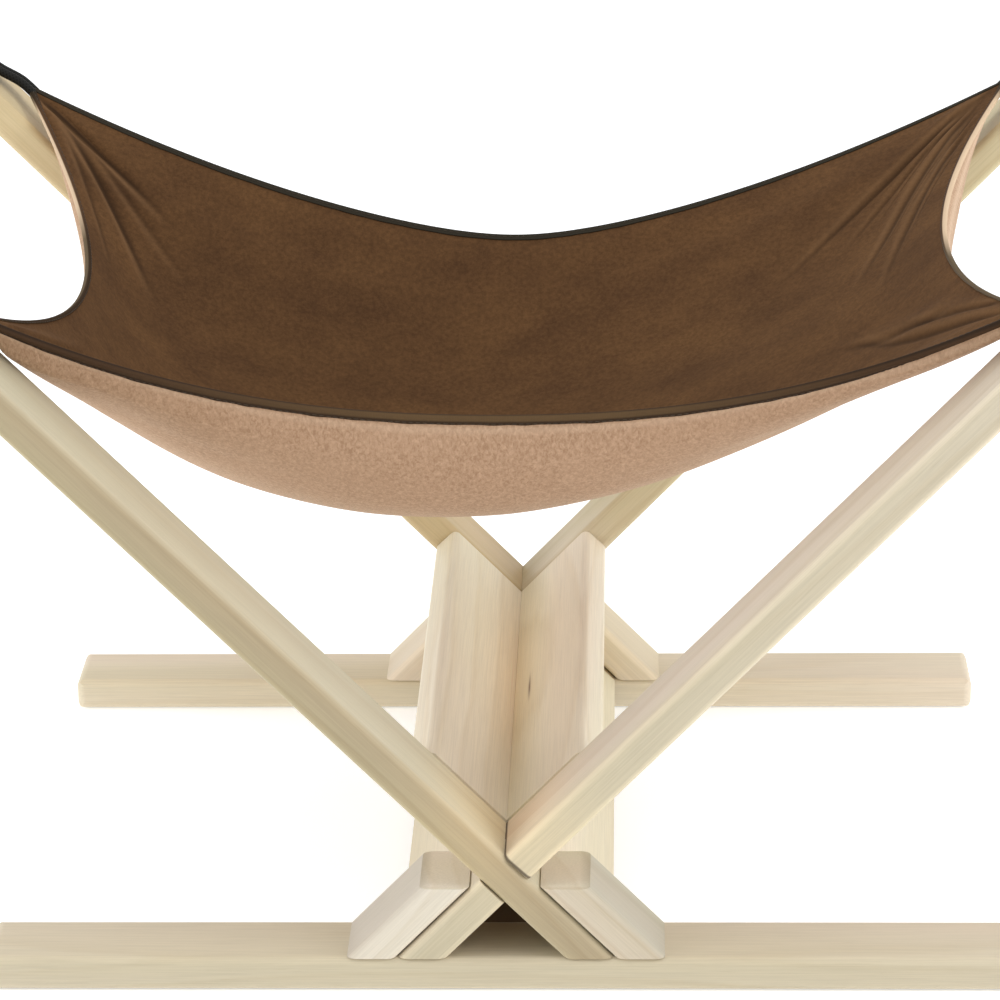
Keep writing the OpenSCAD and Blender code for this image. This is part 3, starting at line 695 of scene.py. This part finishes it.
suedeSet = dict(
    low=0.2, high=2.2, wave=0.4, seed=2.4, columns=241, rows=191,
    main=linear(86, 60, 37), dark=linear(77, 53, 33), nap=linear(95, 67, 41), fold=linear(46, 30, 17),
    crest=linear(124, 93, 64), brushed=(20.0, 32.0, 24.0), mottle=400.0, fine=1100.0,
    mottleShare=0.6, fineShare=0.35, foldShare=0.85, crestShare=0.42,
    rough=0.8, roughGrain=0.12, highFine=0.4, bump=0.5, bumpDeep=0.0008,
    fixed={"Sheen Weight": 0.15, "Sheen Roughness": 0.5, "Sheen Tint": linear(150, 116, 80),
           "Specular IOR Level": 0.08},
    lineWide=0.55, lineRidge=1.9, lineSteep=0.7,  # the drawn crease: narrower, its ridge further off
    ridge=0.55, ridgeAt=1.7, ridgeWide=1.3, fadeIn=(-0.08, 0.12), fadeOut=(0.45, 1.05), hemFrom=(0.5, 6),
    lines=(  # creases from u, v to u, v, deep and wide in mm
        (-0.985, 0.96, -0.74, 0.77, 2.6, 4.0), (-0.955, 0.93, -0.78, 0.43, 2.4, 6.0),
        (-0.955, 0.84, -0.915, 0.33, 1.4, 4.0), (-0.96, 0.95, -0.70, 0.60, 1.2, 5.0),
        (0.95, 0.94, 0.58, 0.48, 2.0, 4.0), (0.96, 0.90, 0.75, 0.15, 2.2, 4.5),
        (0.97, 0.75, 0.81, 0.0, 1.8, 4.5), (0.95, 0.92, 0.70, 0.45, 1.3, 3.5),
        (0.965, 0.85, 0.80, 0.25, 1.4, 3.0), (0.955, 0.80, 0.86, 0.35, 1.2, 2.6),
        (0.962, 0.62, 0.885, 0.22, 1.1, 2.6), (0.93, 0.90, 0.79, 0.52, 1.0, 2.4),
        (1.0, -0.84, 0.84, -0.45, 1.5, 4.0), (0.92, -0.60, 0.68, -0.255, 1.5, 4.5),
        (0.97, -0.93, 0.74, -0.335, 1.9, 4.5), (-0.985, -0.90, -0.93, -0.42, -1.6, 5.0),
        (-0.965, -0.95, -0.74, -0.50, 1.8, 5.0), (-0.95, -0.96, -0.66, -0.70, 1.4, 5.0),
    ),
)


def makeFoldLine(s):  # a valley and the ridge beside it along one straight line of the cloth
    tree, i, o = startGroup("foldLine", [
        ("Place", "Vector", None), ("From", "Vector", None), ("Way", "Vector", None), ("Long", "Float", 0.1),
        ("Wide", "Float", 0.002), ("Deep", "Float", 1.0), ("Valley", "Float", 0.0), ("Ridge", "Float", 0.0),
    ], [("Valley", "Float"), ("Ridge", "Float")])
    off = vec(tree, "-", i["Place"], i["From"])
    ahead = calc(tree, "/", vec(tree, "DOT_PRODUCT", off, i["Way"]), i["Long"])
    fade = calc(tree, "*+", ahead, 0.8, 0.1)  # room on the ramp before the start and after the end
    fade = ramp(tree, fade, [(0.02, 0.0), (0.2, 1.0), (0.66, 0.85), (0.98, 0.0)])
    fade = calc(tree, "*", fade, i["Deep"])
    away = calc(tree, "/", split(tree, vec(tree, "CROSS_PRODUCT", off, i["Way"]))[2], i["Wide"])
    valley = bell(tree, calc(tree, "*", away, away))
    past = calc(tree, "-", away, s["lineRidge"])
    ridge = bell(tree, calc(tree, "*", past, past), s["lineSteep"])
    feed(tree, o, {"Valley": calc(tree, "*+", valley, fade, i["Valley"]),
                   "Ridge": calc(tree, "*+", ridge, fade, i["Ridge"])})
    return tree


foldLine = makeFoldLine(suedeSet)


def creaseLine(u0, v0, u1, v1, s):  # start, direction and length of a crease on the flat cloth, mm
    size = np.array((s["cornerX"], s["armY"]))
    start = np.array((u0, v0)) * size
    way = np.array((u1, v1)) * size - start
    return start, unit(way), float(np.hypot(*way))


def makeSuede(s):
    mat, tree, skin = startMaterial("suede_cloth")
    spot, uv = objectSpot(tree), mapSpot(tree)
    valley, ridge = 0.0, 0.0
    for *ends, deep, wide in s["lines"]:
        start, way, long = creaseLine(*ends, bedSet)
        line = placeGroup(tree, foldLine, {
            "Place": uv, "From": (*(start / 1000), 0.0), "Way": (*way, 0.0), "Long": long / 1000,
            "Wide": wide / 1000 * s["lineWide"], "Deep": deep / 2, "Valley": valley, "Ridge": ridge})
        valley, ridge = line["Valley"], line["Ridge"]
    brushed = noise(tree, spot, s["brushed"], 3.0, 0.6)
    mottle = noise(tree, spot, s["mottle"], 3.0, 0.65)
    fine = noise(tree, spot, s["fine"], 2.0, 0.6)
    shade = ramp(tree, brushed, [(0.30, s["dark"]), (0.50, s["main"]), (0.74, s["nap"])])
    shade = blend(tree, s["mottleShare"], shade, ramp(tree, mottle, [(0.34, 0.70), (0.66, 1.28)]), "*")
    shade = blend(tree, s["fineShare"], shade, ramp(tree, fine, [(0.35, 0.75), (0.65, 1.15)]), "*")
    # painted shade in the crease valleys, painted light on their ridges
    shade = blend(tree, calc(tree, "*", valley, s["foldShare"], clamp=True), shade, s["fold"])
    shade = blend(tree, calc(tree, "*", ridge, s["crestShare"], clamp=True), shade, s["crest"])
    high = calc(tree, "*+", fine, s["highFine"], calc(tree, "-", ridge, valley))
    finishSkin(tree, skin, s, shade, fine, high)
    return mat


def creases(u, v, s):  # valleys with a ridge beside them along straight lines of the cloth, fading inwards
    x, y = u * bedSet["cornerX"], v * bedSet["armY"]
    total = np.zeros_like(u)
    for *ends, deep, wide in s["lines"]:
        start, way, long = creaseLine(*ends, bedSet)
        t = ((x - start[0]) * way[0] + (y - start[1]) * way[1]) / long
        d = ((x - start[0]) * way[1] - (y - start[1]) * way[0]) / wide
        fade = easeIn(t, *s["fadeIn"]) * (1 - easeIn(t, *s["fadeOut"]))
        total += deep * fade * (s["ridge"] * np.exp(-((d - s["ridgeAt"]) / s["ridgeWide"]) ** 2) - np.exp(-(d**2)))
    return total


def makeLining(s):
    u, v, place, up, flat, inset = bedGrid(s["columns"], s["rows"], bedSet)
    wave = s["wave"] * ripple(u, v, inset, bedSet, s["seed"]) + creases(u, v, s) * easeIn(inset, *s["hemFrom"])
    high = layer(inset, s["low"], s["high"], bedSet) + wave
    piece = makeCloth("suede_lining", makeSuede(s), place + s["low"] * up, place + high[..., None] * up, flat)
    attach(piece, "bed")
    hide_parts("bed_lining")
    return piece


suedeLining = makeLining(suedeSet)
print("bed cloths made")

# folded binding tape round the whole edge

tapeSet = dict(
    inner=1.2, outer=3.2, thick=0.4, lift=0.1, fold=1.3, foldInner=0.6, steps=1100, pucker=0.18, rearInner=2.8,
    main=linear(88, 68, 45), dark=linear(42, 30, 20), worn=linear(100, 78, 53), endsDark=linear(66, 47, 31),
    rear=linear(46, 42, 33), greyed=linear(96, 81, 61), inward=linear(80, 57, 38), pale=linear(206, 181, 152),
    sunk=linear(52, 36, 19), middle=0.0052, half=0.0040, endSoft=7.0, endAt=-0.35, ribPitch=0.0008, wear=90.0,
    wornShare=0.5, edgeShare=0.85, ribShare=0.06, rough=0.75, roughGrain=0.1, bump=0.2, bumpDeep=0.0002,
    fixed={"Specular IOR Level": 0.12},
    # the pale stretches of the side cuts by v, how far round the fold pale starts, and where the corners are
    paleRight=(-0.27, -0.02), paleLeft=(0.28, 0.48), paleAt=0.0013, leftAt=0.0011, paleSoft=0.0006,
    turn=0.006, corner=0.95, sideFrom=0.97,
)


def outlineRun(count, s):  # the rounded outline once round, as u, v at even distances
    t = np.linspace(-1, 1, 400, endpoint=False)
    e = np.ones_like(t)
    u, v = roundCorner(np.concatenate([t, e, -t, -e]), np.concatenate([-e, t, e, -t]), s)
    u, v = np.r_[u, u[0]], np.r_[v, v[0]]
    run = runAlong(bedMid(u, v, s))
    even = np.linspace(0, run[-1], count, endpoint=False)
    return np.interp(even, run, u), np.interp(even, run, v), even, run[-1]


def edgeFrame(u, v, s, reach=6, wide=2.5):  # place, inward, upward and forward directions at each outline step
    place = bedMid(u, v, s)
    ahead = unit(np.roll(place, -2, 0) - np.roll(place, 2, 0))
    up = bedNormal(u, v, s)
    kernel = np.exp(-0.5 * (np.arange(-reach, reach + 1) / wide) ** 2)  # evens out the normals round the corners
    kernel /= kernel.sum()
    up = sum(w * np.roll(up, k, 0) for w, k in zip(kernel, range(-reach, reach + 1)))
    up = unit(up - (up * ahead).sum(1)[:, None] * ahead)
    return place, np.cross(up, ahead), up, ahead


def tapeProfile(s):  # closed outline of the folded tape over the pressed layers, as inset and height
    topIn, lowIn = np.linspace(s["inner"], 0.0, 6), np.linspace(0.0, s["outer"], 9)
    high = layer(topIn, suedeSet["low"], suedeSet["high"], bedSet) + s["lift"]
    low = layer(lowIn, plushSet["high"], plushSet["low"], bedSet) - s["lift"]
    mid, half = (high[-1] + low[0]) / 2, (high[-1] - low[0]) / 2
    a = np.radians(np.linspace(90, 270, 13))[1:-1]
    outer = np.stack([s["fold"] * np.cos(a), mid + (half + s["thick"]) * np.sin(a)], -1)
    inner = np.stack([s["foldInner"] * s["fold"] * np.cos(a), mid + half * np.sin(a)], -1)[::-1]
    upper = np.stack([topIn, high + s["thick"]], -1)
    lower = np.stack([lowIn, low - s["thick"]], -1)
    lowerIn = np.stack([lowIn, low], -1)[::-1]
    upperIn = np.stack([topIn, high], -1)[::-1]
    return np.concatenate([upper, outer, lower, lowerIn, inner, upperIn])


def sideRun(u, v, run, side, level, s):  # distance along the outline where the left or right edge reaches v
    on = u * side > s["sideFrom"]
    order = np.argsort(v[on])
    return float(np.interp(level, v[on][order], run[on][order]))


def makeTape(s, marks, total):
    mat, tree, skin = startMaterial("binding_tape")
    ahead, across, _ = split(tree, mapSpot(tree))
    spot = objectSpot(tree)
    rib = calc(tree, "SINE", calc(tree, "*", ahead, 2 * math.pi / s["ribPitch"]))
    worn = noise(tree, spot, s["wear"], 3.0)
    # darker towards the left and right of the bed
    ends = calc(tree, "ABSOLUTE", split(tree, spot)[0])
    ends = calc(tree, "*+", ends, s["endSoft"], s["endAt"], clamp=True)
    # painted light along the fold, painted shade towards the stitched edges
    edge = calc(tree, "/", calc(tree, "-", across, s["middle"]), s["half"])
    edge = ramp(tree, calc(tree, "ABSOLUTE", edge), [(0.30, 0.0), (0.62, 1.0)])
    shade = blend(tree, calc(tree, "*", worn, s["wornShare"]), s["main"], s["worn"])
    shade = blend(tree, ends, shade, s["endsDark"])
    shade = blend(tree, calc(tree, "*", edge, s["edgeShare"]), shade, s["dark"])
    # the side cuts are greyed in front, with a painted shadow line inwards on the left, and pale on the outer half
    # behind: the plush's colour lightened by painted light
    way, d = calc(tree, "/", ahead, total / 1000), s["turn"]
    r0, r1, r2, r3, l0, l1, l2, l3 = marks
    behind = [(r3 - d, 1.0), (r3 + d, 0.0), (l0 - d, 0.0), (l0 + d, 1.0)]
    side = ramp(tree, way, [(r0 - d, 0.0), (r0 + d, 1.0), *behind, (l3 - d, 1.0), (l3, 0.0)])
    back = ramp(tree, way, [(r1, 0.0), (r2, 1.0), *behind, (l1, 1.0), (l2, 0.0)])
    rear = ramp(tree, way, [(at, 1.0 - on) for at, on in behind])
    left = calc(tree, "GREATER_THAN", way, (r3 + l0) / 2)
    start = calc(tree, "*+", left, s["leftAt"], s["paleAt"])
    outer = calc(tree, "/", calc(tree, "-", across, start), s["paleSoft"], clamp=True)
    sunk = calc(tree, "*", left, calc(tree, "-", 1.0, outer))
    shade = blend(tree, side, shade, blend(tree, sunk, s["greyed"], s["sunk"]))
    shade = blend(tree, back, shade, blend(tree, outer, s["inward"], s["pale"]))
    shade = blend(tree, rear, shade, s["rear"])
    shade = blend(tree, calc(tree, "*+", rib, s["ribShare"], s["ribShare"]), shade, s["dark"])
    finishSkin(tree, skin, s, shade, worn, rib)
    return mat


def makeBinding(s):
    u, v, run, total = outlineRun(s["steps"], bedSet)
    place, inward, up, _ = edgeFrame(u, v, bedSet)
    profile, wide, d = tapeProfile(s), tapeProfile(dict(s, inner=s["rearInner"])), s["turn"]
    levels = [(1, level) for level in (-s["corner"], *s["paleRight"], s["corner"])]
    levels += [(-1, level) for level in (s["corner"], *s["paleLeft"][::-1], -s["corner"])]
    marks = [sideRun(u, v, run, side, level, s) / total for side, level in levels]
    share = np.interp(run / total, [marks[3] - d, marks[3] + d, marks[4] - d, marks[4] + d], [0, 1, 1, 0])
    share = share[:, None, None]
    shape = profile * (1 - share) + wide * share  # the tape lies further over the lining behind
    # pucker: sines along the edge, periods in mm, growing towards the flap
    wave = s["pucker"] * (np.sin(run / 3.1 + 1.7 * np.sin(run / 23)) + 0.8 * np.sin(run / 7.3 + 2))
    near = np.clip(profile[:, 0] / s["outer"], 0, 1)[None, :]
    inset = shape[..., 0] + near * wave[:, None]
    height = shape[..., 1] + near * np.abs(wave[:, None]) * 0.5 * np.sign(profile[None, :, 1])
    rings = place[:, None] + inset[..., None] * inward[:, None] + height[..., None] * up[:, None]
    # the first ring and first points again, for their own map
    rings = np.concatenate([rings, rings[:1]])
    rings = np.concatenate([rings, rings[:, :1]], 1)
    across = runAlong(profile)
    across = np.r_[across, across[-1] + s["thick"]]
    uv = np.stack(np.meshgrid(np.r_[run, total], across, indexing="ij"), -1) / 1000
    mat, quads = makeTape(s, marks, total), gridQuads(*rings.shape[:2])
    piece = makePiece("binding_tape", mat, rings / 1000, quads, uv, weld=True)
    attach(piece, "bed")
    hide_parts("edge_binding")
    return piece, total


bindingTape, edgeLong = makeBinding(tapeSet)
print("binding made, mm round:", round(edgeLong))

# rows of sewing thread along both edges of the tape

threadSet = dict(pitch=3.4, long=2.5, thick=0.36, sides=6, upper=0.75, lower=2.5, sink=0.04, twist=4.0,
                 main=linear(70, 54, 36), dark=linear(40, 30, 19), rough=0.65, roughPly=-0.1)


def makeThread(s):
    mat, tree, skin = startMaterial("sewing_thread")
    part = split(tree, mapSpot(tree))
    share = swing(tree, calc(tree, "*+", part[1], s["twist"], part[0]))
    feed(tree, skin, {"Base Color": blend(tree, share, s["dark"], s["main"]),
                      "Roughness": calc(tree, "*+", share, s["roughPly"], s["rough"])})
    return mat


def makeStitches(s, t):  # a tapered round profile on each straight run between two needle holes
    profile = tapeProfile(t)  # its first 6 points lie over the lining, those from 17 to 25 under the plush
    high = np.interp(s["upper"], *profile[5::-1].T)
    low = np.interp(s["lower"], *profile[17:26].T)
    u, v, _, _ = outlineRun(int(edgeLong / s["pitch"]) * 2, bedSet)
    place, inward, up, ahead = edgeFrame(u, v, bedSet)
    upper = place + s["upper"] * inward + (high + s["sink"]) * up
    lower = place + s["lower"] * inward + (low - s["sink"]) * up
    middle = np.concatenate([upper[::2], lower[1::2]])
    way, over = np.concatenate([ahead[::2], ahead[1::2]]), np.concatenate([up[::2], up[1::2]])
    side = np.cross(way, over)
    along = np.array((-0.5, -0.42, -0.2, 0.2, 0.42, 0.5))
    girth = np.array((0.0, 0.6, 1.0, 1.0, 0.6, 0.0)) * s["thick"] / 2
    a = np.linspace(0, 2 * np.pi, s["sides"] + 1)
    turn = np.cos(a)[:, None] * side[:, None, None] + np.sin(a)[:, None] * over[:, None, None]
    ring = (along * s["long"])[:, None, None] * way[:, None, None] + middle[:, None, None]
    ring = ring + girth[:, None, None] * turn
    one = gridQuads(len(along), len(a))
    quads = (one[None] + (np.arange(len(middle)) * len(along) * len(a))[:, None, None]).reshape(-1, 4)
    uv = np.broadcast_to(np.stack(np.meshgrid(a / 2 / np.pi, along), -1)[None], (*ring.shape[:3], 2))
    piece = makePiece("tape_stitches", makeThread(s), ring / 1000, quads[:, ::-1], uv, weld=True)
    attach(piece, "bed")
    return piece


tapeStitches = makeStitches(threadSet, tapeSet)
print("stitches made")

# floor and light

studioSet = dict(
    floor=linear(254, 254, 254), dust=grey(0.8), dustOften=3.0, dustShare=0.02, half=30.0, points=13, sink=0.0006,
    rough=0.9, shine=0.1, glow=0.31, glowTint=(0.90, 0.95, 1.0, 1.0),
    under=(0.044, 0.16), underSoft=0.03, underShade=(0.075, 0.044, 0.022, 1.0),
    world=0.85, front=0.55, frontSoft=-1.6, frontAt=-0.3,
    lamps=(  # name, place, aim, size, power
        ("softRight", (2.1, -0.8, 1.15), (0, 0, 0.15), 1.4, 23.0),
        ("softLeft", (-2.1, -0.7, 1.05), (0, 0, 0.15), 1.4, 20.0),
        ("softTop", (0.2, 0.0, 2.8), (0, 0, 0.2), 2.4, 15.5),
    ),
)


def makeFloor(s):
    t = np.linspace(-s["half"], s["half"], s["points"])
    x, y = np.meshgrid(t, t)
    points = np.stack([x, y, np.full_like(x, -s["sink"])], -1)
    mat, tree, skin = startMaterial("pale_floor")
    spot = objectSpot(tree)
    dust = calc(tree, "*", noise(tree, spot, s["dustOften"]), s["dustShare"])
    shade = blend(tree, dust, s["floor"], s["dust"])
    # painted shadow: the strip under the spine is dark and does not glow; the rest of the floor glows a little,
    # painted light that keeps it evenly white
    gaps = [calc(tree, "-", half, calc(tree, "ABSOLUTE", place))
            for half, place in zip(s["under"], split(tree, spot))]
    under = calc(tree, "*", *[calc(tree, "/", gap, s["underSoft"], clamp=True) for gap in gaps])
    feed(tree, skin, {"Base Color": blend(tree, under, shade, s["underShade"]),
                      "Emission Color": blend(tree, under, s["glowTint"], grey(0.0)),
                      "Roughness": s["rough"], "Specular IOR Level": s["shine"], "Emission Strength": s["glow"]})
    floor = makePiece("paleFloor", mat, points, gridQuads(s["points"], s["points"]))


def makeLight(name, place, aim, size, power):
    data = bpy.data.lights.new(name, "AREA")
    data.shape = "DISK"
    data.size, data.energy = size, power
    lamp = addObject(name, data)
    lamp.location = place
    lamp.rotation_mode = "QUATERNION"
    lamp.rotation_quaternion = (Vector(place) - Vector(aim)).to_track_quat("Z", "Y")


def makeRoom(s):  # pale all round, dimmer low down on the camera's side
    world = bpy.data.worlds.new("paleRoom")
    world.use_nodes = True
    tree = world.node_tree
    part = split(tree, tree.nodes.new("ShaderNodeTexCoord").outputs["Generated"])
    front = calc(tree, "*+", part[1], s["frontSoft"], s["frontAt"], clamp=True)
    low = calc(tree, "-", 1.0, part[2], clamp=True)
    shade = blend(tree, calc(tree, "*", front, low), grey(1.0), grey(s["front"]))
    feed(tree, tree.nodes["Background"], {0: shade, 1: s["world"]})
    bpy.context.scene.world = world


makeFloor(studioSet)
for lampLook in studioSet["lamps"]:
    makeLight(*lampLook)
makeRoom(studioSet)
bpy.context.scene.view_settings.view_transform = "Standard"
print("floor and light set")
